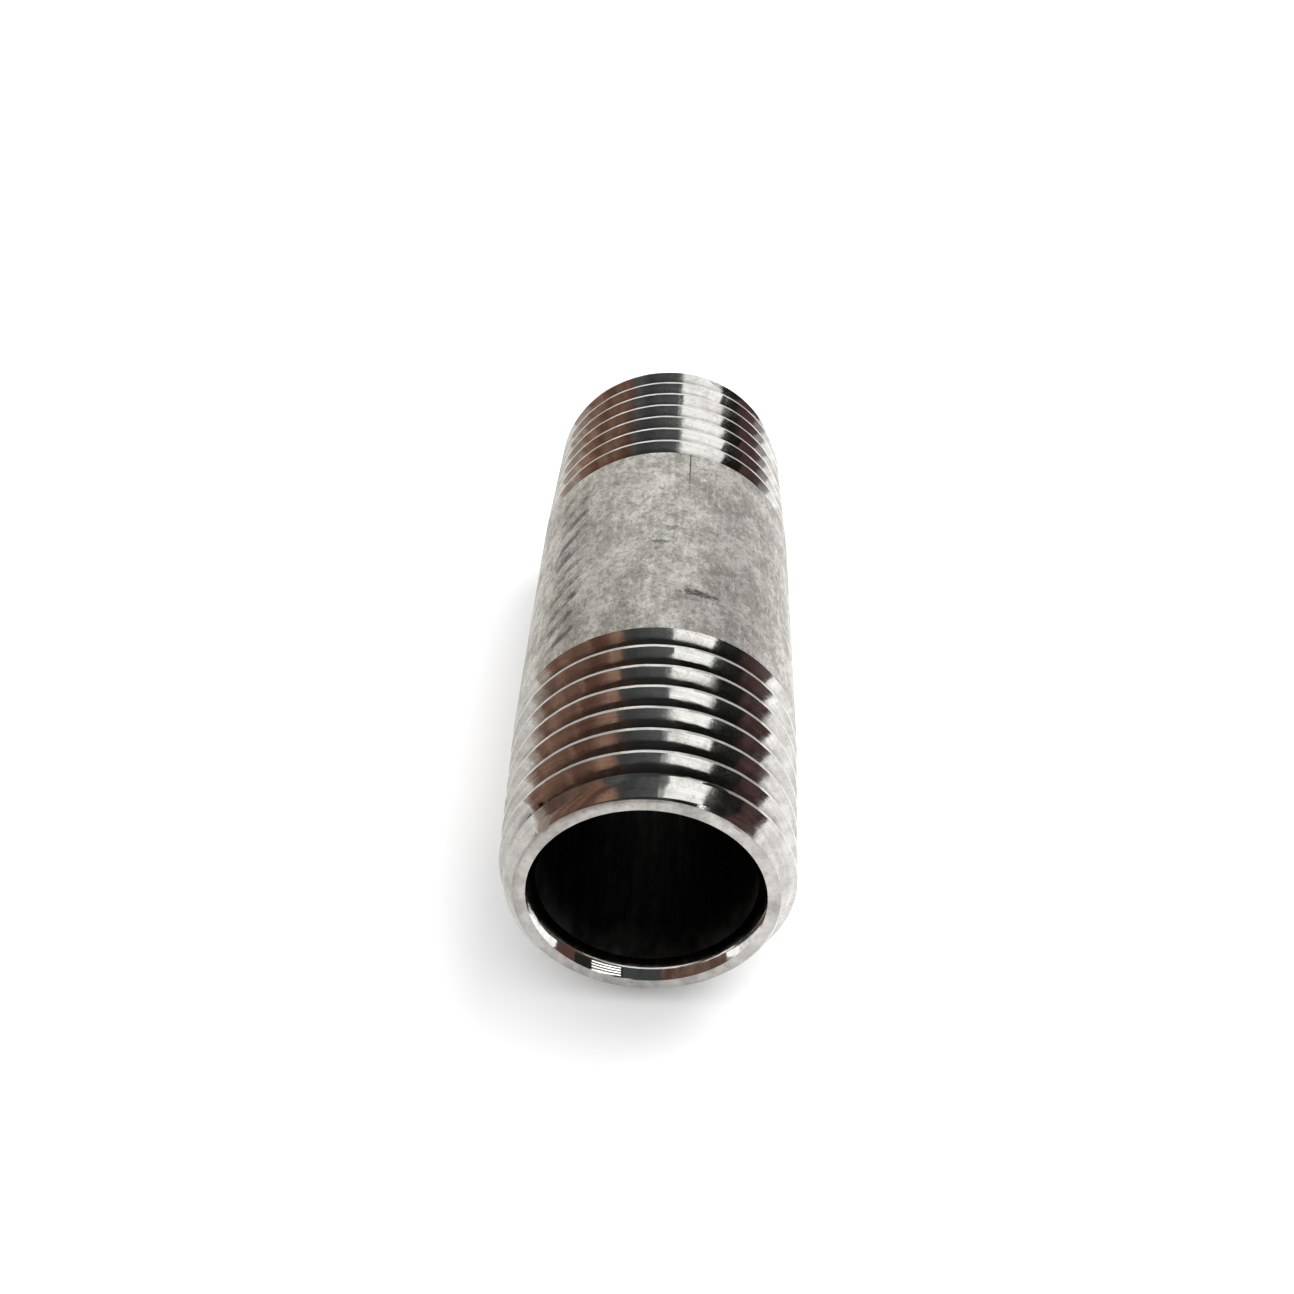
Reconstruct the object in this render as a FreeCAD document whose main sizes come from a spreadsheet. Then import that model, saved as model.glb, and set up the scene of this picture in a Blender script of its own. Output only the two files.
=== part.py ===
"""Threaded pipe nipple, 1/4-18 NPT by 1-1/2 in, welded stainless pipe, schedule 40 wall.

Frame: the pipe axis lies along +Y with +Z up, and the origin is the middle of the nipple.
All sizes are in millimetres and all angles in degrees. Angles around the pipe are measured
from +Z towards +X, which is the way a right-hand thread advances along +Y.
"""

import FreeCAD, Part
import os
import Sketcher
from FreeCAD import Placement, Rotation, Vector

WHOLE_TURN = 360
SLACK = 1.0        # how far cutting tools stand clear of the metal they cut
LEAST_CUT = 100.0  # a thread takes out more metal than this, in cubic millimetres

doc = FreeCAD.newDocument("pipe_nipple")


# ---------------------------------------------------------------- driving dimensions

DIMENSIONS = [
    ("overall_length", 37.0),       # end face to end face
    ("outside_diameter", 13.716),   # 1/4 in nominal pipe
    ("bore_diameter", 9.8),         # schedule 40 wall at the thin side of its mill tolerance
    ("pitch", 1.4111),              # 18 threads per inch
    ("taper_angle", 1.7899),        # 1 in 16 on the diameter, as an angle to the axis
    ("crest_end_diameter", 13.1),   # crest cone where it meets the end plane
    ("thread_depth", 1.02),         # crest to root, square to the axis
    ("root_flat", 0.08),
    ("flank_angle", 30.0),          # each flank to a plane square to the axis
    ("groove_end", 9.95),           # last full groove, from the end plane, at the top of the pipe
    ("groove_turns", 9.0),          # whole turns cut, the outermost in the air past the end
    ("near_runout_angle", 150.0),   # where the near groove stops, around the pipe
    ("far_runout_angle", -150.0),
    ("face_diameter", 11.6),        # outer edge of the flat end face
    ("bevel_length", 0.8),          # outer bevel, along the axis
    ("ream_diameter", 10.54),       # inner edge of the flat end face
    ("ream_length", 1.0),
    ("seam_angle", 10.0),           # the weld line, around the pipe
    ("seam_width", 1.6),
    ("bead_height", 0.12),          # how far the weld stands into the bore
]

sheet = doc.addObject("Spreadsheet::Sheet", "sizes")
for row, (alias, value) in enumerate(DIMENSIONS, start=1):
    sheet.set("A%d" % row, alias)
    sheet.set("B%d" % row, str(value))
    sheet.setAlias("B%d" % row, alias)
doc.recompute()


def size(alias):
    """The value of one driving dimension."""
    return float(sheet.get(alias))


# ---------------------------------------------------------------- helpers for sketches

def origin_plane(body, role):
    """One of the body's own origin planes."""
    return next(plane for plane in body.Origin.OriginFeatures if plane.Role == role)


def outline(body, name, role, corners, turn=0.0):
    """A closed sketch of straight lines; each corner's place is bound to the sizes sheet.

    corners holds pairs of expressions: distance from the pipe axis, and place along it.
    The sketch plane is turned about the pipe axis by turn degrees.
    """
    sketch = body.newObject("Sketcher::SketchObject", name)
    sketch.AttachmentSupport = [(origin_plane(body, role), "")]
    sketch.MapMode = "FlatFace"
    sketch.AttachmentOffset = Placement(Vector(), Rotation(Vector(0, 1, 0), turn))

    values = [tuple(sheet_value(part) for part in corner) for corner in corners]
    points = [Vector(across, along, 0) for across, along in values]
    for start, end in zip(points, points[1:] + points[:1]):
        sketch.addGeometry(Part.LineSegment(start, end), False)
    for index in range(len(points)):
        following = (index + 1) % len(points)
        sketch.addConstraint(Sketcher.Constraint("Coincident", index, 2, following, 1))
    for index, (corner, value) in enumerate(zip(corners, values)):
        for kind, expression, number in zip(("DistanceX", "DistanceY"), corner, value):
            place = sketch.addConstraint(Sketcher.Constraint(kind, -1, 1, index, 1, number))
            sketch.setExpression("Constraints[%d]" % place, expression)
    return sketch


def sheet_value(expression):
    """The value that an expression on the sizes sheet has now."""
    value = sheet.evalExpression(expression)
    return float(getattr(value, "Value", value))


# ---------------------------------------------------------------- the threaded pipe, whole

HALF = "sizes.overall_length / 2"
OUTER = "sizes.outside_diameter / 2"
BORE = "sizes.bore_diameter / 2"
FACE = "sizes.face_diameter / 2"
REAM = "sizes.ream_diameter / 2"
TAPER = "tan(sizes.taper_angle * 1 deg)"
CREST = "(sizes.crest_end_diameter / 2 + %s * %s)"
CREST_AT_BEVEL = CREST % (TAPER, "sizes.bevel_length")
CREST_MEETS_BARREL = HALF + " - (%s - sizes.crest_end_diameter / 2) / %s" % (OUTER, TAPER)
BEVEL_PLANE = HALF + " - sizes.bevel_length"
GROOVE_PLANE = HALF + " - sizes.groove_end"
REAM_PLANE = HALF + " - sizes.ream_length"


def half_profile(side):
    """Half section of one end: bore, reamed mouth, end face, bevel, crest cone and barrel."""
    corners = [
        (BORE, "0"),
        (BORE, REAM_PLANE),
        (REAM, HALF),
        (FACE, HALF),
        (CREST_AT_BEVEL, BEVEL_PLANE),
        (OUTER, CREST_MEETS_BARREL),
        (OUTER, "0"),
    ]
    return [(across, "%d * (%s)" % (side, along)) for across, along in corners]


pipe = doc.addObject("PartDesign::Body", "threaded_pipe")


def turn_half(name, side, start_angle):
    """One end of the pipe, turned about the axis from the middle to the end face."""
    section = outline(pipe, name + "_section", "XY_Plane", half_profile(side), start_angle)
    turned = pipe.newObject("PartDesign::Revolution", name)
    turned.Profile = section
    turned.ReferenceAxis = (section, ["V_Axis"])
    turned.Angle = WHOLE_TURN
    section.Visibility = False
    doc.recompute()


turn_half("near_half", -1, WHOLE_TURN / 2)
turn_half("far_half", 1, 0)


def groove_profile(side):
    """Section of the thread groove where its helix starts, side +1 for the far end, -1 for the near.

    Both helices run towards +Y: the far one from its run-out on the barrel to past the end face,
    the near one from past the end face to its run-out. The mouth of the section stands a little
    outside the crests, so that the flanks cut right through them.
    """
    angle = "sizes.far_runout_angle" if side > 0 else "sizes.near_runout_angle"
    advance = "(sizes.pitch * %s / 360)" % angle
    runout = "(%d * (%s) + %s)" % (side, GROOVE_PLANE, advance)
    start = runout if side > 0 else "(%s - sizes.groove_turns * sizes.pitch)" % runout
    from_end = "(%s - %d * %s)" % (HALF, side, start)
    crest = CREST % (TAPER, from_end)
    root = "(%s - sizes.thread_depth)" % crest
    mouth = "(%s + sizes.thread_depth / 20)" % crest
    half_root = "sizes.root_flat / 2"
    half_mouth = "(%s + sizes.thread_depth * 1.05 * tan(sizes.flank_angle * 1 deg))" % half_root
    return [
        (root, "%s - %s" % (start, half_root)),
        (root, "%s + %s" % (start, half_root)),
        (mouth, "%s + %s" % (start, half_mouth)),
        (mouth, "%s - %s" % (start, half_mouth)),
    ]


def cut_thread(name, side, start_angle):
    """A right-hand tapered groove between the air past the end face and its run-out."""
    volume_before = pipe.Tip.Shape.Volume
    groove = outline(pipe, name + "_section", "XY_Plane", groove_profile(side), start_angle - 90)
    thread = pipe.newObject("PartDesign::SubtractiveHelix", name)
    thread.Profile = groove
    thread.ReferenceAxis = (groove, ["V_Axis"])
    thread.Mode = 0
    thread.setExpression("Pitch", "sizes.pitch")
    thread.setExpression("Height", "sizes.groove_turns * sizes.pitch")
    thread.setExpression("Angle", "%d * sizes.taper_angle" % -side)
    thread.LeftHanded = False
    groove.Visibility = False
    doc.recompute()
    if pipe.Tip.Shape.Volume > volume_before - LEAST_CUT:
        raise RuntimeError(name + " cuts nothing")


cut_thread("near_thread", -1, size("near_runout_angle"))
cut_thread("far_thread", 1, size("far_runout_angle"))


# ---------------------------------------------------------------- the weld and the wall

def seam_slab(name):
    """The strip of wall that the weld fills, from the axis out past the pipe."""
    slab = doc.addObject("Part::Box", name)
    slab.setExpression("Length", "sizes.seam_width")
    slab.setExpression("Width", "sizes.overall_length + 2")
    slab.setExpression("Height", "sizes.outside_diameter")
    turn = Rotation(Vector(0, 1, 0), size("seam_angle"))
    corner = Vector(-size("seam_width") / 2, -size("overall_length") / 2 - SLACK, 0)
    slab.Placement = Placement(turn.multVec(corner), turn)
    return slab


def labelled(kind, label, base, tool):
    """A boolean of two shapes, with the sub-part's own label."""
    result = doc.addObject(kind, label)
    result.Base = base
    result.Tool = tool
    result.Label = label
    return result


pipe_wall = labelled("Part::Cut", "pipe_wall", pipe, seam_slab("seam_gap"))
seam_strip = labelled("Part::Common", "seam_strip", pipe, seam_slab("seam_fill"))
doc.recompute()


def bead_shape():
    """The weld's root bead: a shallow convex rib along the bore, let into the wall above it."""
    half_width = size("seam_width") / 2
    bore = size("bore_diameter") / 2
    edge = (bore ** 2 - half_width ** 2) ** 0.5
    lowest = bore - size("bead_height")
    top = (bore + size("crest_end_diameter") / 2 - size("thread_depth")) / 2
    start = -size("overall_length") / 2 + size("ream_length")
    left, right = Vector(-half_width, start, edge), Vector(half_width, start, edge)
    rib = Part.Arc(left, Vector(0, start, lowest), right).toShape()
    sides = Part.makePolygon([
        right,
        Vector(half_width, start, top),
        Vector(-half_width, start, top),
        left,
    ])
    run = size("overall_length") - 2 * size("ream_length")
    return Part.Face(Part.Wire([rib] + sides.Edges)).extrude(Vector(0, run, 0))


root_bead = doc.addObject("Part::Feature", "root_bead")
root_bead.Shape = bead_shape()
root_bead.Placement = Placement(Vector(), Rotation(Vector(0, 1, 0), size("seam_angle")))
weld_seam = labelled("Part::Fuse", "weld_seam", seam_strip, root_bead)
doc.recompute()


# ---------------------------------------------------------------- checks and export

SUBPARTS = [pipe_wall, weld_seam]

for item in doc.Objects:
    if "Invalid" in item.State or "Error" in item.State:
        raise RuntimeError("%s failed: %s" % (item.Label, item.State))

os.makedirs("parts", exist_ok=True)
for part in SUBPARTS:
    shape = part.Shape
    if shape.isNull() or not shape.isValid() or len(shape.Solids) != 1:
        raise RuntimeError(part.Label + " is not one valid solid")
    shape.exportStep("parts/%s.step" % part.Label)
    print(part.Label, "volume", round(shape.Volume, 2), "box", shape.BoundBox)
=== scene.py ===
from math import cos, radians, sin, tan

import bmesh
import bpy
from mathutils import Matrix, Vector


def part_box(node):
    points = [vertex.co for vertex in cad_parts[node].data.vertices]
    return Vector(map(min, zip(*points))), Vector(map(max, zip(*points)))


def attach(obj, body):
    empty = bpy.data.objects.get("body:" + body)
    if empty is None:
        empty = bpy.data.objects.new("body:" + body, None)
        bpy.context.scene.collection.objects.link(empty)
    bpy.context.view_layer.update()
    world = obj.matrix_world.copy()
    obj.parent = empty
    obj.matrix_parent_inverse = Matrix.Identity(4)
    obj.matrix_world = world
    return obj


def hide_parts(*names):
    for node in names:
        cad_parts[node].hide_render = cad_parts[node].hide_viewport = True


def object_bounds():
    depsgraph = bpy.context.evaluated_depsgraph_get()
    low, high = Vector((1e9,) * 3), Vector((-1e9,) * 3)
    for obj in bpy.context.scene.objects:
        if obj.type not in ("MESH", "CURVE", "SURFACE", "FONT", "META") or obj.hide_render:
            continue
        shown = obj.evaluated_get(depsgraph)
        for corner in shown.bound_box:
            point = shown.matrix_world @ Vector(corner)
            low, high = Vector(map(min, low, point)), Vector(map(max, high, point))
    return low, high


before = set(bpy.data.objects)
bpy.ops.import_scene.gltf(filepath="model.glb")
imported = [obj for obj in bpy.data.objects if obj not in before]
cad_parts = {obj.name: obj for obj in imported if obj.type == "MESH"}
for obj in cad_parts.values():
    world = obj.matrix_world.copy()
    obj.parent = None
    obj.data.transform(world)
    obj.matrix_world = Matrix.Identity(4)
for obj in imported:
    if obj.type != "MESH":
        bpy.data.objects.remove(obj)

cad_low, cad_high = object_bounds()


# ---------------------------------------------------------------- pipe wall
# The wall is stainless strip rolled round and cut to length. A die cuts the right-hand
# tapered thread at each end, a tool bevels and reams the mouths, and the band between
# the threads keeps the dull pickled skin of the pipe.

wall_low, wall_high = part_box("pipe_wall")
outside_radius = (wall_high.x - wall_low.x) / 2
pipe_length = wall_high.y - wall_low.y
pitch = 0.0014111
weld_angle = radians(10)
weld_half_angle = radians(6.7)

pipe_sizes = {
    "Outside radius": outside_radius,
    "Half length": pipe_length / 2,
    "Bore radius": 0.0049,
    "Pitch": pitch,
    "Taper": tan(radians(1.7899)),
    "Crest radius": 0.00655,
    "Thread depth": 0.00102,
    "Crest flat": 0.000153,
    "Root flat": 0.00008,
    "Groove middle": 0.00995,
    "Run-out angle": radians(150),
    "Face radius": 0.0058,
    "Bevel length": 0.0008,
    "Ream radius": 0.00527,
    "Ream length": 0.001,
    "Edge break": 0.00005,
    "Crest wear": 0.000012,
}


def add(tree, kind, **settings):
    """A node in a tree with its settings made."""
    node = tree.nodes.new(kind)
    for name, value in settings.items():
        setattr(node, name, value)
    return node


def feed(tree, socket, value):
    """A number or another node's output goes into a socket."""
    if hasattr(value, "is_output"):
        tree.links.new(value, socket)
    elif value is not None:
        socket.default_value = value


def sum_up(tree, operation, *values):
    """The result of one sum on numbers or outputs."""
    node = add(tree, "ShaderNodeMath", operation=operation)
    for socket, value in zip(node.inputs, values):
        feed(tree, socket, value)
    return node.outputs[0]


def ramp(tree, value, start, end, low=0.0, high=1.0):
    """A value that goes from low to high in a straight line, and is level outside."""
    node = add(tree, "ShaderNodeMapRange", clamp=True)
    for socket, number in zip(node.inputs, (value, start, end, low, high)):
        feed(tree, socket, number)
    return node.outputs[0]


def split(tree, place):
    """The three parts of a place."""
    parts = add(tree, "ShaderNodeSeparateXYZ")
    feed(tree, parts.inputs[0], place)
    return parts.outputs


def from_axis(tree, place):
    """Distance of a place from the pipe's axis."""
    parts = split(tree, place)
    across = add(tree, "ShaderNodeCombineXYZ")
    feed(tree, across.inputs[0], parts[0])
    feed(tree, across.inputs[2], parts[2])
    distance = add(tree, "ShaderNodeVectorMath", operation="LENGTH")
    feed(tree, distance.inputs[0], across.outputs[0])
    return distance.outputs["Value"]


def new_tree(name, inputs):
    """An empty Geometry Nodes tree with named inputs, and its group input's outputs."""
    tree = bpy.data.node_groups.new(name, "GeometryNodeTree")
    tree.interface.new_socket("Geometry", in_out="OUTPUT", socket_type="NodeSocketGeometry")
    for label, value in inputs.items():
        kind = "NodeSocketInt" if isinstance(value, int) else "NodeSocketFloat"
        socket = tree.interface.new_socket(label, in_out="INPUT", socket_type=kind)
        socket.default_value = value
    return tree, add(tree, "NodeGroupInput").outputs


def skin_grid(tree, columns, rows):
    """A flat grid of points, with each point's column and row as numbers."""
    grid = add(tree, "GeometryNodeMeshGrid")
    feed(tree, grid.inputs["Vertices X"], columns)
    feed(tree, grid.inputs["Vertices Y"], rows)
    index = add(tree, "GeometryNodeInputIndex").outputs[0]
    column = sum_up(tree, "FLOOR", sum_up(tree, "DIVIDE", sum_up(tree, "ADD", index, 0.5), rows))
    row = sum_up(tree, "SUBTRACT", index, sum_up(tree, "MULTIPLY", column, rows))
    return grid.outputs["Mesh"], column, row


def column_angle(tree, given, column):
    """The angle round the pipe of each column of the grid."""
    step = sum_up(tree, "DIVIDE", given["Sweep"], sum_up(tree, "SUBTRACT", given["Columns"], 1))
    return sum_up(tree, "MULTIPLY_ADD", column, step, given["Start angle"])


def wrap(tree, mesh, angle, radius, along):
    """The grid's points moved to their angle, radius and place along the pipe."""
    place = add(tree, "ShaderNodeCombineXYZ")
    feed(tree, place.inputs[0], sum_up(tree, "MULTIPLY", radius, sum_up(tree, "SINE", angle)))
    feed(tree, place.inputs[1], along)
    feed(tree, place.inputs[2], sum_up(tree, "MULTIPLY", radius, sum_up(tree, "COSINE", angle)))
    move = add(tree, "GeometryNodeSetPosition")
    feed(tree, move.inputs["Geometry"], mesh)
    feed(tree, move.inputs["Position"], place.outputs[0])
    return move.outputs[0]


def bevel_shape(tree, given):
    """The bevel's slope, and the radius of the rim where the broken edge meets it."""
    rise = sum_up(tree, "SUBTRACT", given["Crest radius"], given["Face radius"])
    slope = sum_up(tree, "DIVIDE", rise, given["Bevel length"])
    return slope, sum_up(tree, "MULTIPLY_ADD", given["Edge break"], slope, given["Face radius"])


def threaded_end_tree():
    """The outer skin of the near end, from the end plane to a helical line on the barrel.

    Rows of the grid follow the helix, so that each crest and root edge is a row of edges.
    """
    inputs = dict(pipe_sizes)
    inputs.update({"Start angle": 0.0, "Sweep": 6.0, "Columns": 240, "First turn": -8.0,
                   "Turns": 9, "Rows per turn": 12})
    tree, given = new_tree("threaded end", inputs)
    rows = sum_up(tree, "ADD", sum_up(tree, "MULTIPLY", given["Turns"], given["Rows per turn"]), 1)
    mesh, column, row = skin_grid(tree, given["Columns"], rows)
    angle = column_angle(tree, given, column)
    whole_turns = sum_up(tree, "DIVIDE", angle, radians(360))

    # place in one turn of the profile: crest flat, leading flank, root flat, trailing flank
    crest_end, leading_end, root_end = 2 / 12, 6 / 12, 8 / 12
    turn = sum_up(tree, "DIVIDE", row, given["Rows per turn"])
    turn_number = sum_up(tree, "FLOOR", sum_up(tree, "ADD", turn, 0.001))
    part = sum_up(tree, "SUBTRACT", turn, turn_number)
    down = ramp(tree, part, crest_end, leading_end)
    up = ramp(tree, part, root_end, 1.0)
    flats = sum_up(tree, "ADD", given["Crest flat"], given["Root flat"])
    flank = sum_up(tree, "DIVIDE", sum_up(tree, "SUBTRACT", given["Pitch"], flats), 2)
    crest_run = ramp(tree, part, 0.0, crest_end, 0.0, given["Crest flat"])
    root_run = ramp(tree, part, leading_end, root_end, 0.0, given["Root flat"])
    flank_run = sum_up(tree, "MULTIPLY", sum_up(tree, "ADD", down, up), flank)
    run = sum_up(tree, "ADD", sum_up(tree, "ADD", crest_run, root_run), flank_run)

    # distance of each point from the end plane, the helix rising with the angle
    crest_lead = sum_up(tree, "ADD", flank, sum_up(
        tree, "MULTIPLY_ADD", given["Root flat"], 0.5, given["Crest flat"]))
    groove_start = sum_up(tree, "SUBTRACT", given["Groove middle"], crest_lead)
    turns_back = sum_up(tree, "ADD", turn_number, given["First turn"])
    rise = sum_up(tree, "MULTIPLY", sum_up(tree, "ADD", turns_back, whole_turns), given["Pitch"])
    free = sum_up(tree, "ADD", sum_up(tree, "ADD", rise, run), groove_start)
    from_end = sum_up(tree, "MAXIMUM", free, given["Edge break"])

    # the groove dies out at its run-out angle, over a few degrees
    run_out = radians(14)
    turned = sum_up(tree, "MULTIPLY_ADD", turns_back, radians(360), angle)
    left = sum_up(tree, "SUBTRACT", given["Run-out angle"], turned)
    alive = ramp(tree, left, 0.0, run_out)
    sunk = sum_up(tree, "SUBTRACT", down, up)
    depth = sum_up(tree, "MULTIPLY", sunk, sum_up(tree, "MULTIPLY", given["Thread depth"], alive))

    # crests stand on the taper cone, and no higher than the pipe; they are a little torn
    cone = sum_up(tree, "MULTIPLY_ADD", from_end, given["Taper"], given["Crest radius"])
    crest = sum_up(tree, "MINIMUM", cone, given["Outside radius"])
    torn = add(tree, "ShaderNodeTexNoise", noise_dimensions="1D")
    feed(tree, torn.inputs["W"], sum_up(tree, "MULTIPLY", turned, 9.0))
    feed(tree, torn.inputs["Scale"], 1.0)
    feed(tree, torn.inputs["Detail"], 3.0)
    wear = sum_up(tree, "MULTIPLY", ramp(tree, torn.outputs[0], 0.35, 0.75), given["Crest wear"])
    standing = sum_up(tree, "SUBTRACT", 1.0, sunk)
    worn = sum_up(tree, "MULTIPLY", wear, sum_up(tree, "MULTIPLY", standing, alive))
    profile = sum_up(tree, "SUBTRACT", sum_up(tree, "SUBTRACT", crest, depth), worn)

    # the bevel cuts the first crests down to the rim, and no groove goes through the rim
    rim_fall = -0.9
    bevel_slope, rim_radius = bevel_shape(tree, given)
    bevel = sum_up(tree, "MULTIPLY_ADD", from_end, bevel_slope, given["Face radius"])
    past_break = sum_up(tree, "SUBTRACT", from_end, given["Edge break"])
    rim = sum_up(tree, "MULTIPLY_ADD", past_break, rim_fall, rim_radius)
    radius = sum_up(tree, "MAXIMUM", sum_up(tree, "MINIMUM", profile, bevel), rim)
    along = sum_up(tree, "SUBTRACT", from_end, given["Half length"])

    feed(tree, add(tree, "NodeGroupOutput").inputs[0], wrap(tree, mesh, angle, radius, along))
    return tree


def barrel_skin(tree, given):
    """The plain barrel between the two helical lines where the threaded ends stop."""
    mesh, column, row = skin_grid(tree, given["Columns"], given["Barrel rows"])
    angle = column_angle(tree, given, column)
    rise = sum_up(tree, "MULTIPLY", angle, sum_up(tree, "DIVIDE", given["Pitch"], radians(360)))
    groove_share = sum_up(tree, "ADD", sum_up(tree, "MULTIPLY", given["Pitch"], 0.5),
                          sum_up(tree, "MULTIPLY", given["Crest flat"], 0.5))
    end_line = sum_up(tree, "SUBTRACT", given["Groove middle"], groove_share)
    near_line = sum_up(tree, "SUBTRACT", sum_up(
        tree, "ADD", end_line, given["Pitch"]), given["Half length"])
    far_line = sum_up(tree, "SUBTRACT", given["Half length"], sum_up(
        tree, "MULTIPLY_ADD", given["Pitch"], 2.0, end_line))
    last_row = sum_up(tree, "SUBTRACT", given["Barrel rows"], 1)
    along = sum_up(tree, "ADD", rise, ramp(tree, row, 0, last_row, near_line, far_line))
    return wrap(tree, mesh, angle, given["Outside radius"], along)


def inner_skin(tree, given):
    """Broken edge, end face, reamed mouth and bore, from one end through to the other."""
    edge_end, face_end, mouth_end = 1, 3, 19
    bore_end, far_mouth_end, far_face_end, last_row = 31, 47, 49, 50
    mesh, column, row = skin_grid(tree, given["Columns"], last_row + 1)
    angle = column_angle(tree, given, column)

    # place along the pipe, counted up stretch by stretch from the near rim
    bore_length = sum_up(tree, "MULTIPLY", 2.0, sum_up(
        tree, "SUBTRACT", given["Half length"], given["Ream length"]))
    along = sum_up(tree, "SUBTRACT", given["Edge break"], given["Half length"])
    for start, stop, advance, sign in ((0, edge_end, given["Edge break"], "SUBTRACT"),
                                       (face_end, mouth_end, given["Ream length"], "ADD"),
                                       (mouth_end, bore_end, bore_length, "ADD"),
                                       (bore_end, far_mouth_end, given["Ream length"], "ADD"),
                                       (far_face_end, last_row, given["Edge break"], "SUBTRACT")):
        along = sum_up(tree, sign, along, ramp(tree, row, start, stop, 0.0, advance))

    # the edge of the face is a little burred; circle coordinates close the noise on itself
    burr = add(tree, "ShaderNodeTexNoise", noise_dimensions="2D")
    on_circle = add(tree, "ShaderNodeCombineXYZ")
    feed(tree, on_circle.inputs[0], sum_up(tree, "SINE", angle))
    feed(tree, on_circle.inputs[1], sum_up(tree, "COSINE", angle))
    for label, value in (("Vector", on_circle.outputs[0]), ("Scale", 5.0), ("Detail", 5.0)):
        feed(tree, burr.inputs[label], value)
    burr_width = ramp(tree, burr.outputs[0], 0.38, 0.62, -1.1, -2.4)
    face_edge = sum_up(tree, "MULTIPLY_ADD", given["Edge break"], burr_width, given["Face radius"])

    # radius, stepped in from the near rim to the bore, and out again at the far end
    rim_radius = bevel_shape(tree, given)[1]
    break_width = sum_up(tree, "SUBTRACT", rim_radius, face_edge)
    face_width = sum_up(tree, "SUBTRACT", face_edge, given["Ream radius"])
    ream_depth = sum_up(tree, "SUBTRACT", given["Ream radius"], given["Bore radius"])
    radius = rim_radius
    for start, stop, change, sign in ((0, edge_end, break_width, "SUBTRACT"),
                                      (edge_end, face_end, face_width, "SUBTRACT"),
                                      (face_end, mouth_end, ream_depth, "SUBTRACT"),
                                      (far_mouth_end, far_face_end, face_width, "ADD"),
                                      (far_face_end, last_row, break_width, "ADD")):
        radius = sum_up(tree, sign, radius, ramp(tree, row, start, stop, 0.0, change))

    # each mouth opens like a bell, by the square of the way out of the bore
    for inner, outer in ((mouth_end, face_end), (bore_end, far_mouth_end)):
        flare = ramp(tree, row, inner, outer)
        sag = sum_up(tree, "SUBTRACT", flare, sum_up(tree, "MULTIPLY", flare, flare))
        mouth = sag if outer == face_end else sum_up(tree, "SUBTRACT", sag, flare)
        radius = sum_up(tree, "SUBTRACT", radius, sum_up(tree, "MULTIPLY", mouth, ream_depth))

    # the weld's root stands into the bore, highest in the middle of its sector
    last_column = sum_up(tree, "SUBTRACT", given["Columns"], 1)
    across_bead = ramp(tree, column, 0, last_column, -1.0, 1.0)
    crown = sum_up(tree, "SUBTRACT", 1.0, sum_up(tree, "MULTIPLY", across_bead, across_bead))
    in_bore = sum_up(tree, "MULTIPLY", ramp(tree, row, mouth_end + 0.4, mouth_end + 0.6),
                     ramp(tree, row, bore_end - 0.6, bore_end - 0.4, 1.0, 0.0))
    bead = sum_up(tree, "MULTIPLY", sum_up(tree, "MULTIPLY", crown, in_bore), given["Bead height"])
    return wrap(tree, mesh, angle, sum_up(tree, "SUBTRACT", radius, bead), along)


def zone(tree, mesh, material, chosen=None):
    """The mesh with a material on it, or only on its chosen faces."""
    node = add(tree, "GeometryNodeSetMaterial")
    feed(tree, node.inputs["Geometry"], mesh)
    feed(tree, node.inputs["Selection"], chosen)
    node.inputs["Material"].default_value = material
    return node.outputs[0]


def join(tree, *pieces):
    """Several meshes as one."""
    joined = add(tree, "GeometryNodeJoinGeometry")
    for piece in pieces:
        tree.links.new(piece, joined.inputs[0])
    return joined.outputs[0]


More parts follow.
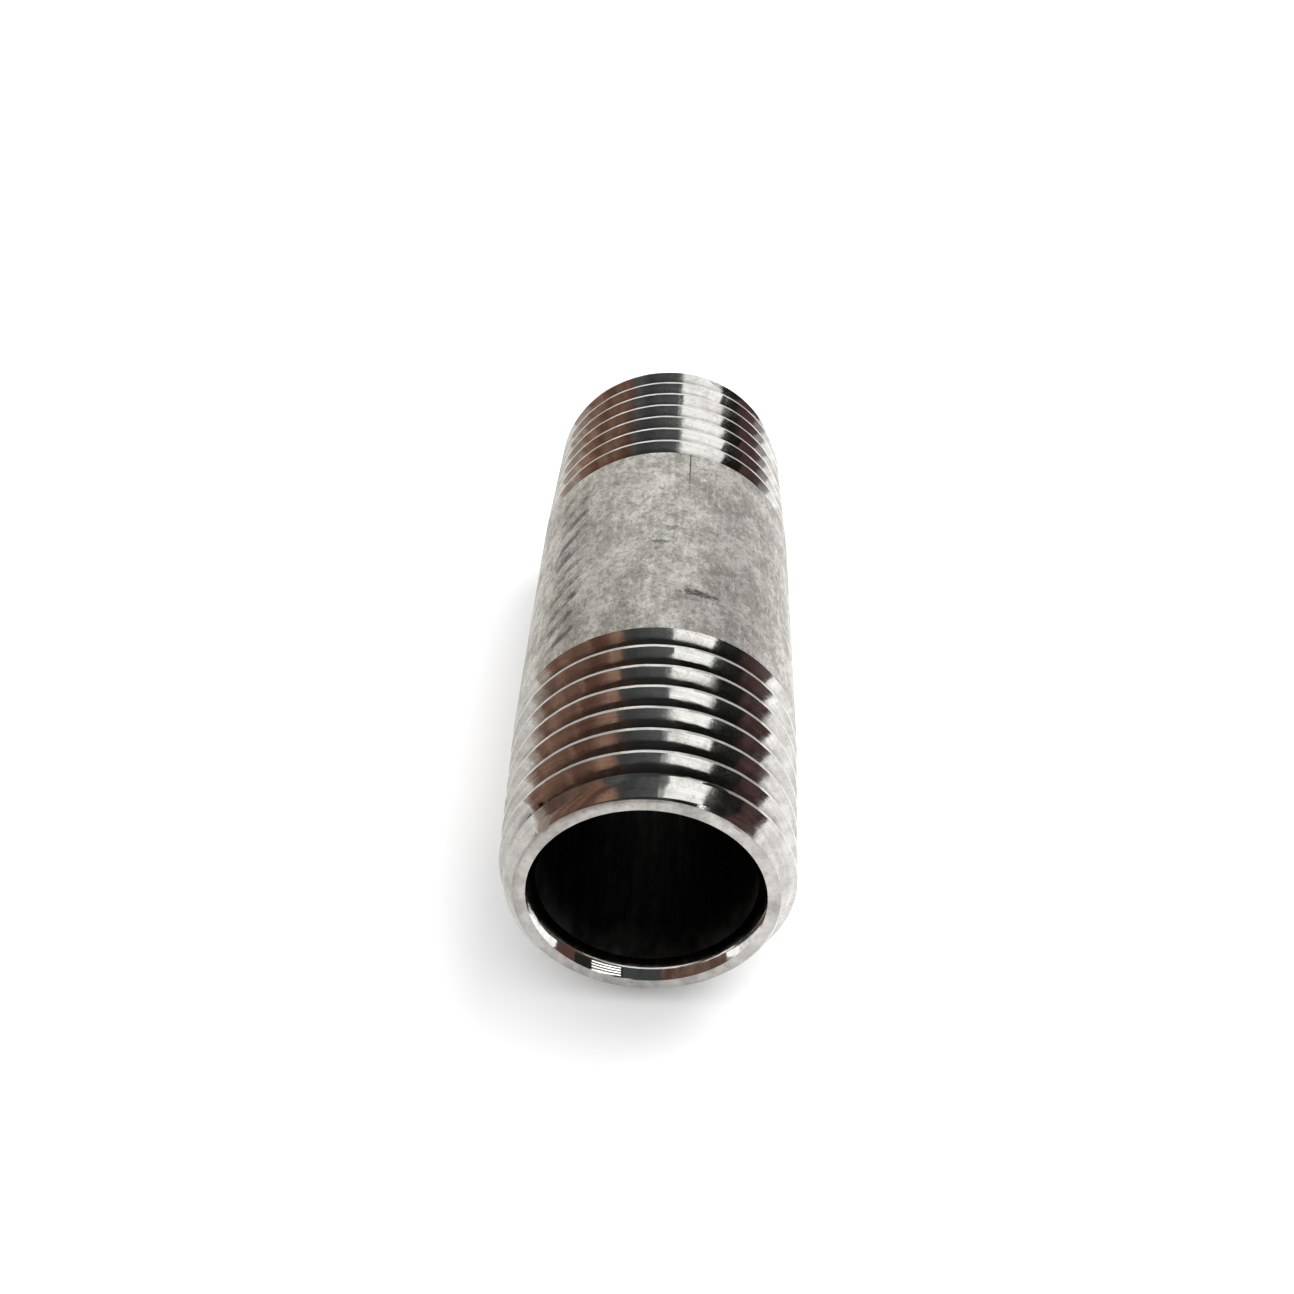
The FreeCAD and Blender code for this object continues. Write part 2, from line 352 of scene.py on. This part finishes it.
def pipe_sector_tree(threaded_end):
    """A sector of the pipe, open only along its two cut sides: skin, faces, mouths and bore."""
    inputs = dict(pipe_sizes)
    inputs.update({"Start angle": 0.0, "Sweep": 6.0, "Columns": 240, "Bead height": 0.0,
                   "Barrel rows": 24})
    tree, given = new_tree("pipe sector", inputs)

    def end(start_angle, first_turn):
        group = add(tree, "GeometryNodeGroup", node_tree=threaded_end)
        for label in (*pipe_sizes, "Sweep", "Columns"):
            feed(tree, group.inputs[label], given[label])
        feed(tree, group.inputs["Start angle"], start_angle)
        feed(tree, group.inputs["First turn"], first_turn)
        return group.outputs[0]

    # the far end is the near one turned half round, so the same die cuts both
    near = end(given["Start angle"], -8.0)
    far_start = sum_up(tree, "MULTIPLY", sum_up(
        tree, "ADD", given["Start angle"], given["Sweep"]), -1.0)
    half_turn = add(tree, "GeometryNodeTransform")
    feed(tree, half_turn.inputs["Geometry"], end(far_start, -7.0))
    half_turn.inputs["Rotation"].default_value = (0, 0, radians(180))
    skin = join(tree, near, half_turn.outputs[0], barrel_skin(tree, given))

    # what the die has cut, or the bevel has taken off, shows fresh metal
    least_cut = 0.000003
    position = add(tree, "GeometryNodeInputPosition").outputs[0]
    skin_level = sum_up(tree, "SUBTRACT", given["Outside radius"], least_cut)
    is_cut = sum_up(tree, "LESS_THAN", from_axis(tree, position), skin_level)
    outside = zone(tree, zone(tree, skin, pickled_skin), turned_thread, is_cut)

    # inside, the metal changes just behind the end face, and again where the ream ends
    just_inside = 0.000026
    from_middle = sum_up(tree, "ABSOLUTE", split(tree, position)[1])
    inside = zone(tree, inner_skin(tree, given), cut_face)
    for material, behind_face in ((reamed_mouth, just_inside), (dark_bore, given["Ream length"])):
        level = sum_up(tree, "SUBTRACT", given["Half length"], behind_face)
        inside = zone(tree, inside, material, sum_up(tree, "LESS_THAN", from_middle, level))

    same_point = 0.000002
    merged = add(tree, "GeometryNodeMergeByDistance")
    feed(tree, merged.inputs["Geometry"], join(tree, outside, inside))
    feed(tree, merged.inputs["Distance"], same_point)
    real = add(tree, "GeometryNodeRealizeInstances")
    feed(tree, real.inputs[0], merged.outputs[0])
    feed(tree, add(tree, "NodeGroupOutput").inputs[0], real.outputs[0])
    return tree


def shader(name, colour, roughness):
    """A bare metal: its tree, its shader node and the coordinates that its patterns read."""
    material = bpy.data.materials.new(name)
    material.use_nodes = True
    tree = material.node_tree
    metal = tree.nodes["Principled BSDF"]
    metal.inputs["Base Color"].default_value = (*colour, 1)
    metal.inputs["Metallic"].default_value = 1.0
    metal.inputs["Roughness"].default_value = roughness
    return material, tree, metal, add(tree, "ShaderNodeTexCoord").outputs["Object"]


def grain(tree, place, stretch, detail=4.0, roughness=0.6):
    """Noise with so many cycles a millimetre along each axis; along Y is along the pipe."""
    scaled = add(tree, "ShaderNodeMapping")
    feed(tree, scaled.inputs["Vector"], place)
    scaled.inputs["Scale"].default_value = [1000 * cycles for cycles in stretch]
    noise = add(tree, "ShaderNodeTexNoise")
    feed(tree, noise.inputs["Vector"], scaled.outputs[0])
    for label, value in (("Scale", 1.0), ("Detail", detail), ("Roughness", roughness)):
        noise.inputs[label].default_value = value
    return noise.outputs[0]


def tint(tree, amount, first, second):
    """The colour between two, by an amount from 0 to 1."""
    mixed = add(tree, "ShaderNodeMix", data_type="RGBA")
    feed(tree, mixed.inputs[0], amount)
    for socket, colour in ((mixed.inputs[6], first), (mixed.inputs[7], second)):
        feed(tree, socket, (*colour, 1) if isinstance(colour, tuple) else colour)
    return mixed.outputs[2]


def roughen(tree, surface, height, depth):
    """Relief of a height pattern, depth in metres, under a surface's shading."""
    bump = add(tree, "ShaderNodeBump")
    bump.inputs["Strength"].default_value = 1.0
    bump.inputs["Distance"].default_value = depth
    feed(tree, bump.inputs["Height"], height)
    feed(tree, surface.inputs["Normal"], bump.outputs[0])


def around(tree, place, angle):
    """Distance to one side of the line at this angle, and distance from the axis towards it."""
    sideways = add(tree, "ShaderNodeVectorMath", operation="DOT_PRODUCT")
    outward = add(tree, "ShaderNodeVectorMath", operation="DOT_PRODUCT")
    feed(tree, sideways.inputs[0], place)
    feed(tree, outward.inputs[0], place)
    sideways.inputs[1].default_value = (cos(angle), 0, -sin(angle))
    outward.inputs[1].default_value = (sin(angle), 0, cos(angle))
    return sideways.outputs["Value"], outward.outputs["Value"]


def on_this_side(tree, amount, facing):
    """An amount that counts only on the half of the pipe that faces a line, not behind it."""
    return sum_up(tree, "MULTIPLY", amount, ramp(tree, facing, 0.0, 0.001))


def blot(tree, place, angle, along, width, height, ragged):
    """How much a ragged spot covers the skin: its angle in degrees, the rest in millimetres."""
    beside, facing = around(tree, place, radians(angle))
    side = sum_up(tree, "MULTIPLY", beside, 1000.0 / width)
    ahead = sum_up(tree, "MULTIPLY_ADD", split(tree, place)[1], 1000.0 / height, -along / height)
    reach = sum_up(tree, "ADD", sum_up(tree, "MULTIPLY", side, side),
                   sum_up(tree, "MULTIPLY", ahead, ahead))
    cover = ramp(tree, sum_up(tree, "MULTIPLY_ADD", ragged, 7.0, reach), 3.5, 5.0, 1.0, 0.0)
    return on_this_side(tree, cover, facing)


def pickled_skin_metal():
    """Acid-pickled pipe skin: dull warm grey, mottled, with drawn streaks and faint ink strokes."""
    material, tree, metal, place = shader("pickled_skin", (0.36, 0.35, 0.33), 0.5)
    along = sum_up(tree, "MULTIPLY", split(tree, place)[1], 1000.0)
    clouds = grain(tree, place, (0.45, 0.34, 0.45), detail=6.0, roughness=0.72)
    pores = grain(tree, place, (7.0, 5.0, 7.0), detail=4.0, roughness=0.8)
    speckle = grain(tree, place, (2.6, 2.0, 2.6), detail=6.0, roughness=0.8)
    streaks = grain(tree, place, (4.5, 0.22, 4.5), detail=4.0, roughness=0.7)
    colour = tint(tree, ramp(tree, clouds, 0.41, 0.58), (0.43, 0.42, 0.385), (0.74, 0.73, 0.69))
    colour = tint(tree, ramp(tree, streaks, 0.52, 0.66, 0.0, 0.50), colour, (0.80, 0.79, 0.76))
    colour = tint(tree, ramp(tree, speckle, 0.50, 0.60, 0.0, 0.52), colour, (0.30, 0.285, 0.255))
    colour = tint(tree, ramp(tree, speckle, 0.37, 0.46, 0.50, 0.0), colour, (0.90, 0.89, 0.86))
    colour = tint(tree, ramp(tree, pores, 0.55, 0.64, 0.0, 0.60), colour, (0.16, 0.15, 0.13))
    colour = tint(tree, ramp(tree, pores, 0.36, 0.45, 0.32, 0.0), colour, (0.95, 0.94, 0.92))

    # scale pits: dark ragged spots
    ragged = grain(tree, place, (4.2, 6.0, 4.2), detail=5.0, roughness=0.8)
    for angle, spot_along, width, height, darkness in ((16.0, -4.75, 0.85, 0.26, 0.90),
                                                       (-1.6, -0.75, 0.60, 0.16, 0.65),
                                                       (3.0, 0.6, 0.28, 0.26, 0.55),
                                                       (40.0, -1.2, 0.30, 0.45, 0.40)):
        spot = blot(tree, place, angle, spot_along, width, height, ragged)
        colour = tint(tree, sum_up(tree, "MULTIPLY", spot, darkness), colour, (0.075, 0.07, 0.06))

    # the ground weld line still shows where the far thread runs out
    beside, facing = around(tree, place, weld_angle)
    line = ramp(tree, sum_up(tree, "ABSOLUTE", beside), 0.00002, 0.00006, 1.0, 0.0)
    line = sum_up(tree, "MULTIPLY", line, ramp(tree, along, 3.6, 6.4, 0.0, 0.85))
    colour = tint(tree, on_this_side(tree, line, facing), colour, (0.05, 0.045, 0.04))

    # plain slanted ink strokes in a row along one side, half rubbed off
    ink_angle, stroke_spacing, stroke_slant = radians(-44.5), 1.45, -0.55
    side, facing = around(tree, place, ink_angle)
    side = sum_up(tree, "MULTIPLY", side, 1000.0)
    slant = sum_up(tree, "MULTIPLY_ADD", side, stroke_slant, along)
    beat = sum_up(tree, "FRACT", sum_up(tree, "DIVIDE", slant, stroke_spacing))
    stroke = sum_up(tree, "MULTIPLY", ramp(tree, beat, 0.06, 0.24),
                    ramp(tree, beat, 0.46, 0.70, 1.0, 0.25))
    band = ramp(tree, sum_up(tree, "ABSOLUTE", side), 0.75, 1.15, 1.0, 0.0)
    stretch = ramp(tree, sum_up(tree, "ABSOLUTE", along), 6.8, 7.4, 1.0, 0.0)
    rubbing = grain(tree, place, (1.1, 1.3, 1.1), detail=5.0, roughness=0.75)
    rubbed = ramp(tree, rubbing, 0.36, 0.56, 0.15, 1.0)
    ink = sum_up(tree, "MULTIPLY", sum_up(tree, "MULTIPLY", stroke, band),
                 sum_up(tree, "MULTIPLY", stretch, rubbed))
    ink = sum_up(tree, "MULTIPLY", ink, ramp(tree, facing, 0.0, 0.001, 0.0, 0.86))
    colour = tint(tree, ink, colour, (0.09, 0.085, 0.08))
    feed(tree, metal.inputs["Base Color"], colour)
    feed(tree, metal.inputs["Roughness"], ramp(tree, speckle, 0.30, 0.75, 0.42, 0.62))
    relief = sum_up(tree, "ADD", sum_up(tree, "MULTIPLY", streaks, 0.7), speckle)
    relief = sum_up(tree, "MULTIPLY_ADD", pores, -0.5, relief)
    roughen(tree, metal, relief, 0.000016)
    return material


def turned_thread_metal():
    """Die-cut stainless: bright flanks with fine tool lines round the pipe, and two painted shadow slits."""
    material, tree, metal, place = shader("turned_thread", (0.62, 0.61, 0.59), 0.08)
    lines = grain(tree, place, (0.10, 9.0, 0.10), detail=3.0, roughness=0.7)
    chatter = grain(tree, place, (0.9, 1.6, 0.9), detail=3.0, roughness=0.6)
    stain = grain(tree, place, (0.7, 0.9, 0.7), detail=6.0, roughness=0.78)
    specks = grain(tree, place, (4.0, 5.0, 4.0), detail=4.0, roughness=0.8)
    colour = tint(tree, ramp(tree, lines, 0.35, 0.70), (0.70, 0.69, 0.67), (0.52, 0.51, 0.50))
    colour = tint(tree, ramp(tree, stain, 0.46, 0.66, 0.0, 0.55), colour, (0.36, 0.335, 0.31))
    colour = tint(tree, ramp(tree, specks, 0.56, 0.70, 0.0, 0.55), colour, (0.22, 0.20, 0.18))

    # painted shade: the colour darkens deep in the thread's roots, but not in the bevel
    from_middle = sum_up(tree, "ABSOLUTE", split(tree, place)[1])
    crest_at_middle = pipe_sizes["Crest radius"] + pipe_sizes["Taper"] * pipe_sizes["Half length"]
    cone = sum_up(tree, "MULTIPLY_ADD", from_middle, -pipe_sizes["Taper"], crest_at_middle)
    crest = sum_up(tree, "MINIMUM", cone, outside_radius)
    deep = sum_up(tree, "SUBTRACT", crest, from_axis(tree, place))
    film = ramp(tree, sum_up(tree, "MULTIPLY_ADD", stain, 0.0003, deep), 0.00046, 0.00062, 0.0, 0.42)
    behind_bevel = pipe_length / 2 - pipe_sizes["Bevel length"]
    film = sum_up(tree, "MULTIPLY", film, ramp(
        tree, from_middle, behind_bevel - 0.0001, behind_bevel, 1.0, 0.0))
    colour = tint(tree, film, colour, (0.085, 0.082, 0.078))

    # painted shadow: two black slits just under the crests on the left side
    ragged = grain(tree, place, (2.0, 5.0, 2.0), detail=3.0)
    for angle, along in ((-53.0, -7.5), (-49.5, -17.0)):
        nick = blot(tree, place, angle, along, 0.85, 0.11, ragged)
        colour = tint(tree, nick, colour, (0.012, 0.011, 0.010))
    feed(tree, metal.inputs["Base Color"], colour)
    feed(tree, metal.inputs["Roughness"], ramp(tree, stain, 0.35, 0.75, 0.045, 0.20))
    relief = sum_up(tree, "MULTIPLY_ADD", chatter, 2.0, lines)
    roughen(tree, metal, relief, 0.0000024)
    return material


def cut_face_metal():
    """The flat end face: sawn and faced, satin, with rings left by the facing tool."""
    material, tree, metal, place = shader("cut_face", (0.40, 0.39, 0.375), 0.36)
    blotches = grain(tree, place, (0.9, 0.9, 0.9), detail=6.0, roughness=0.75)
    specks = grain(tree, place, (5.0, 5.0, 5.0), detail=4.0, roughness=0.8)
    ring_rate = 90000.0
    rings = sum_up(tree, "SINE", sum_up(tree, "MULTIPLY", from_axis(tree, place), ring_rate))
    colour = tint(tree, ramp(tree, blotches, 0.38, 0.64), (0.54, 0.52, 0.50), (0.34, 0.325, 0.31))
    colour = tint(tree, ramp(tree, specks, 0.55, 0.70, 0.0, 0.55), colour, (0.16, 0.15, 0.14))
    feed(tree, metal.inputs["Base Color"], colour)
    feed(tree, metal.inputs["Roughness"], ramp(tree, blotches, 0.3, 0.7, 0.26, 0.46))
    relief = sum_up(tree, "MULTIPLY_ADD", blotches, 3.0, sum_up(tree, "MULTIPLY", rings, 0.4))
    roughen(tree, metal, relief, 0.000005)
    return material


def reamed_mouth_metal():
    """The reamed mouth: a bright flare, nearly a mirror under fine scratches round it."""
    material, tree, metal, place = shader("reamed_mouth", (0.74, 0.73, 0.71), 0.08)
    scratches = grain(tree, place, (0.12, 14.0, 0.12), detail=2.0)
    marks = grain(tree, place, (1.4, 1.4, 1.4), detail=5.0, roughness=0.7)
    feed(tree, metal.inputs["Base Color"], tint(
        tree, ramp(tree, marks, 0.45, 0.70), (0.78, 0.77, 0.75), (0.52, 0.50, 0.48)))
    feed(tree, metal.inputs["Roughness"], ramp(tree, marks, 0.35, 0.75, 0.03, 0.12))
    roughen(tree, metal, scratches, 0.0000005)
    return material


def dark_bore_metal():
    """The bore: painted shade, almost black with faint streaks, and lighter in patches just inside each mouth
    as a painted reflection.
    """
    material, tree, metal, place = shader("dark_bore", (0.035, 0.036, 0.034), 0.42)
    streaks = grain(tree, place, (2.4, 0.12, 2.4), detail=4.0, roughness=0.7)
    scale = grain(tree, place, (1.5, 1.2, 1.5), detail=5.0)
    from_middle = sum_up(tree, "ABSOLUTE", split(tree, place)[1])
    # painted reflection: patchy lighter grey within a few millimetres of each mouth
    mouth = pipe_length / 2 - pipe_sizes["Ream length"]
    rubbed_length = 0.0026
    patches = grain(tree, place, (0.35, 0.2, 0.35), detail=3.0)
    rubbed = sum_up(tree, "MULTIPLY", ramp(tree, from_middle, mouth - rubbed_length, mouth),
                    ramp(tree, patches, 0.40, 0.58, 0.15, 1.0))
    # painted shade: the bore is coloured almost black
    colour = tint(tree, ramp(tree, streaks, 0.40, 0.75), (0.030, 0.032, 0.028), (0.10, 0.102, 0.092))
    colour = tint(tree, sum_up(tree, "MULTIPLY", rubbed, rubbed), colour, (0.34, 0.34, 0.34))
    feed(tree, metal.inputs["Base Color"], colour)
    feed(tree, metal.inputs["Roughness"], ramp(tree, scale, 0.3, 0.7, 0.30, 0.50))
    roughen(tree, metal, sum_up(tree, "ADD", streaks, scale), 0.00001)
    return material


pickled_skin = pickled_skin_metal()
turned_thread = turned_thread_metal()
cut_face = cut_face_metal()
reamed_mouth = reamed_mouth_metal()
dark_bore = dark_bore_metal()
pipe_tree = pipe_sector_tree(threaded_end_tree())


def pipe_sector(name, start_angle, sweep, columns, bead_height):
    """A sector of the threaded pipe as a plain closed mesh, smooth but for its real edges."""
    holder = bpy.data.objects.new(name + "_holder", bpy.data.meshes.new(name + "_holder"))
    bpy.context.collection.objects.link(holder)
    modifier = holder.modifiers.new("pipe", "NODES")
    modifier.node_group = pipe_tree
    wanted = {"Start angle": start_angle, "Sweep": sweep, "Columns": columns,
              "Bead height": bead_height}
    for item in pipe_tree.interface.items_tree:
        if item.item_type == "SOCKET" and item.name in wanted:
            modifier[item.identifier] = wanted[item.name]
    evaluated = holder.evaluated_get(bpy.context.evaluated_depsgraph_get())
    mesh = bpy.data.meshes.new_from_object(evaluated)
    holder.modifiers.remove(modifier)
    bpy.data.objects.remove(holder)

    sharp = radians(24)
    shell = bmesh.new()
    shell.from_mesh(mesh)
    bmesh.ops.remove_doubles(shell, verts=shell.verts, dist=0.000001)
    bmesh.ops.dissolve_degenerate(shell, edges=shell.edges, dist=0.0000005)
    open_edges = [edge for edge in shell.edges if edge.is_boundary]
    sides = bmesh.ops.holes_fill(shell, edges=open_edges, sides=0)["faces"]
    bmesh.ops.triangulate(shell, faces=sides, ngon_method="EAR_CLIP")
    bmesh.ops.recalc_face_normals(shell, faces=shell.faces)
    for edge in shell.edges:
        edge.smooth = edge.calc_face_angle(0.0) < sharp
    for face in shell.faces:
        face.smooth = True
    still_open = sum(edge.is_boundary for edge in shell.edges)
    print(name, "faces", len(shell.faces), "open edges", still_open)
    shell.to_mesh(mesh)
    shell.free()
    mesh.name = name
    piece = bpy.data.objects.new(name, mesh)
    bpy.context.collection.objects.link(piece)
    return piece


wall = pipe_sector("rolled_wall", weld_angle + weld_half_angle,
                   radians(360) - 2 * weld_half_angle, columns=280, bead_height=0.0)
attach(wall, "root")
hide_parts("pipe_wall")


# ---------------------------------------------------------------- weld seam
# The edges of the strip are fused along the pipe, and the weld is ground flush outside.
# Its root stays as a low rib in the bore, and the dies cut the threads through it too.

seam = pipe_sector("weld_line", weld_angle - weld_half_angle,
                   2 * weld_half_angle, columns=13, bead_height=0.00012)
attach(seam, "root")
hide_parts("weld_seam")


# ---------------------------------------------------------------- stage
# A pale paper sheet under the pipe, white all round and one soft lamp. Dark and bright
# cards stand round it, which show only as reflections in the metal.

floor_level = cad_low.z


def plain_object(name, corners, faces, material):
    """A stage object from its corners and faces."""
    mesh = bpy.data.meshes.new(name)
    mesh.from_pydata(corners, [], faces)
    mesh.materials.append(material)
    thing = bpy.data.objects.new(name, mesh)
    bpy.context.collection.objects.link(thing)
    return thing


def paper_finish():
    """Matt white paper with a faint tooth."""
    material = bpy.data.materials.new("paper")
    material.use_nodes = True
    tree = material.node_tree
    sheet = tree.nodes["Principled BSDF"]
    sheet.inputs["Base Color"].default_value = (0.93, 0.93, 0.93, 1)
    sheet.inputs["Roughness"].default_value = 0.9
    sheet.inputs["Specular IOR Level"].default_value = 0.0
    place = add(tree, "ShaderNodeTexCoord").outputs["Object"]
    roughen(tree, sheet, grain(tree, place, (0.5, 0.5, 0.5)), 0.00002)
    return material


def glow(name, colour, strength=1.0, streak=None):
    """A card's own light, even or broken by upright streaks of a second colour."""
    material = bpy.data.materials.new(name)
    material.use_nodes = True
    tree = material.node_tree
    tree.nodes.clear()
    light = add(tree, "ShaderNodeEmission")
    light.inputs["Color"].default_value = (*colour, 1)
    light.inputs["Strength"].default_value = strength
    if streak is not None:
        place = add(tree, "ShaderNodeTexCoord").outputs["Object"]
        planks = grain(tree, place, (0.055, 0.006, 0.004), detail=3.0, roughness=0.6)
        feed(tree, light.inputs["Color"], tint(tree, ramp(tree, planks, 0.40, 0.60), colour, streak))
    tree.links.new(light.outputs[0], add(tree, "ShaderNodeOutputMaterial").inputs[0])
    return material


def only_in_reflections(thing):
    """A card that shows as a reflection, and nowhere else."""
    thing.visible_camera = False
    thing.visible_diffuse = False
    thing.visible_shadow = False


floor_half = 1.2
floor_corners = [(-floor_half, -floor_half, floor_level), (floor_half, -floor_half, floor_level),
                 (floor_half, floor_half, floor_level), (-floor_half, floor_half, floor_level)]
plain_object("paper_floor", floor_corners, [(0, 1, 2, 3)], paper_finish())


def card(name, left, right, finish):
    """A card folded from the floor up a wall in front: each side is X at each fold."""
    folds = [(-0.052, floor_level + 0.0002), (-0.090, floor_level + 0.0002),
             (-0.0905, 0.025), (-0.0905, 0.050), (-0.0905, 0.080), (-0.0905, 0.130)]
    corners = [(x, y, z) for (y, z), x in zip(folds, left)]
    corners += [(x, y, z) for (y, z), x in zip(folds, right)]
    count = len(folds)
    faces = [(i, i + 1, count + i + 1, count + i) for i in range(count - 1)]
    only_in_reflections(plain_object(name, corners, faces, finish))


def folds_at(*millimetres):
    """Places across the stage at each fold of a card."""
    return [value / 1000 for value in millimetres]


beige_edge = folds_at(-80, -160, -240, -290, -350, -430)
brown_edge = folds_at(-42, -80, -110, -128, -156, -196)
dark_edge = folds_at(-6, -8, -15, -26, -54, -90)
window_edge = folds_at(5, 7, 11, 18, 20, 22)
black_edge = folds_at(20, 25, 41, 68, 100, 140)
red_edge = folds_at(32, 50, 82, 112, 150, 200)
pale_edge = folds_at(58, 104, 150, 196, 250, 310)
grey_edge = folds_at(85, 170, 260, 320, 390, 470)
card("beige_card", beige_edge, brown_edge, glow("beige", (0.56, 0.48, 0.41), 1.0, (0.34, 0.26, 0.21)))
card("brown_card", brown_edge, dark_edge, glow("brown", (0.34, 0.205, 0.145), 1.0, (0.125, 0.063, 0.044)))
card("slate_card", dark_edge, window_edge, glow("slate", (0.062, 0.067, 0.070), 1.0, (0.105, 0.112, 0.112)))
card("window_card", window_edge, black_edge, glow("window", (1.0, 1.0, 0.98), 1.45))
card("black_card", black_edge, red_edge, glow("black", (0.012, 0.013, 0.011)))
card("russet_card", red_edge, pale_edge, glow("russet", (0.115, 0.065, 0.06), 1.0, (0.06, 0.032, 0.03)))
card("grey_card", pale_edge, grey_edge, glow("grey", (0.50, 0.49, 0.48), 1.0, (0.24, 0.23, 0.22)))


def arch_card(name, start, end, finish, near=-0.13, far=0.09, reach=0.12):
    """A card bent over the pipe like part of an arch, from one angle to another."""
    steps = 8
    angles = [radians(start + (end - start) * i / steps) for i in range(steps + 1)]
    corners = [(reach * sin(a), y, reach * cos(a)) for y in (near, far) for a in angles]
    count = steps + 1
    faces = [(i, i + 1, count + i + 1, count + i) for i in range(steps)]
    only_in_reflections(plain_object(name, corners, faces, finish))


arch_card("brown_arch", -78, -16, glow("brown_above", (0.20, 0.13, 0.10), 1.0, (0.10, 0.06, 0.045)))
arch_card("slate_arch", -16, 18, glow("slate_above", (0.062, 0.068, 0.070)))
arch_card("dark_arch", 18, 64, glow("dark_above", (0.020, 0.021, 0.020)))
for place_along in (-0.080, -0.065, -0.050, -0.035):
    lamp_name = "lamp_arch_%d" % (-1000 * place_along)
    arch_card(lamp_name, 20, 47, glow(lamp_name, (1.0, 1.0, 1.0), 2.5),
              near=place_along - 0.003, far=place_along + 0.003, reach=0.119)
arch_card("russet_arch", 64, 84, glow("russet_above", (0.12, 0.065, 0.06)))


def side_card(name, x_near, x_far, finish):
    """A card flat on the floor beside the pipe, under the others."""
    level = floor_level + 0.0001
    corners = [(x_near, -0.3, level), (x_far, -0.3, level), (x_far, 0.3, level), (x_near, 0.3, level)]
    only_in_reflections(plain_object(name, corners, [(0, 1, 2, 3)], finish))


side_card("left_card", -0.008, -0.3, glow("left_floor", (0.80, 0.79, 0.75), 1.0, (1.0, 0.99, 0.95)))
side_card("right_card", 0.008, 0.3, glow("right_floor", (1.55, 1.55, 1.53), 1.0, (1.2, 1.19, 1.17)))


def back_card(name, start, end, depth, finish):
    """A card that stands on the floor beyond the far end."""
    top = 0.5
    corners = [(start, depth, floor_level), (end, depth, floor_level), (end, depth, top), (start, depth, top)]
    only_in_reflections(plain_object(name, corners, [(0, 1, 2, 3)], finish))


back_card("back_left_card", -0.13, -0.6, 0.29, glow("back_left_card", (0.72, 0.71, 0.69)))
back_card("back_right_card", 0.13, 0.6, 0.29, glow("back_right_card", (0.72, 0.71, 0.69)))
back_finish = glow("back_wall", (1.10, 1.10, 1.07), 1.0, (1.35, 1.35, 1.32))
back_card("back_card", -0.35, 0.35, 0.3, back_finish)

sky = bpy.data.worlds.new("white_room")
sky.use_nodes = True
sky.node_tree.nodes["Background"].inputs["Color"].default_value = (1, 1, 1, 1)
sky.node_tree.nodes["Background"].inputs["Strength"].default_value = 1.2
bpy.context.scene.world = sky

softbox = bpy.data.lights.new("softbox", "AREA")
softbox.shape = "DISK"
softbox.size = 0.30
softbox.energy = 0.7
lamp = bpy.data.objects.new("softbox", softbox)
lamp.location = (0.16, 0.12, 0.26)
lamp.visible_glossy = False
lamp.rotation_mode = "QUATERNION"
lamp.rotation_quaternion = (Vector((0, 0, 0)) - Vector(lamp.location)).to_track_quat("-Z", "Y")
bpy.context.collection.objects.link(lamp)


# ---------------------------------------------------------------- camera
# A hand-held camera close above one end, looking along the pipe.

camera_data = bpy.data.cameras.new("camera")
camera_data.sensor_width = 36
camera_data.lens = 44.46
camera_data.clip_start = 0.002
camera_data.clip_end = 20
camera = bpy.data.objects.new("camera", camera_data)
bpy.context.collection.objects.link(camera)
bpy.context.scene.camera = camera

heading, tilt, roll = radians(-1.274), radians(37.336), radians(1.68)
forward = Vector((sin(heading) * cos(tilt), cos(heading) * cos(tilt), -sin(tilt)))
level = Vector((forward.y, -forward.x, 0)).normalized()
upward = level.cross(forward)
right = cos(roll) * level + sin(roll) * upward
top = cos(roll) * upward - sin(roll) * level
turn = Matrix((right, top, -forward)).transposed()
camera_place = (0.000796, -0.067003, 0.050773)
camera.matrix_world = Matrix.Translation(camera_place) @ turn.to_4x4()

bpy.context.scene.view_settings.view_transform = "Standard"
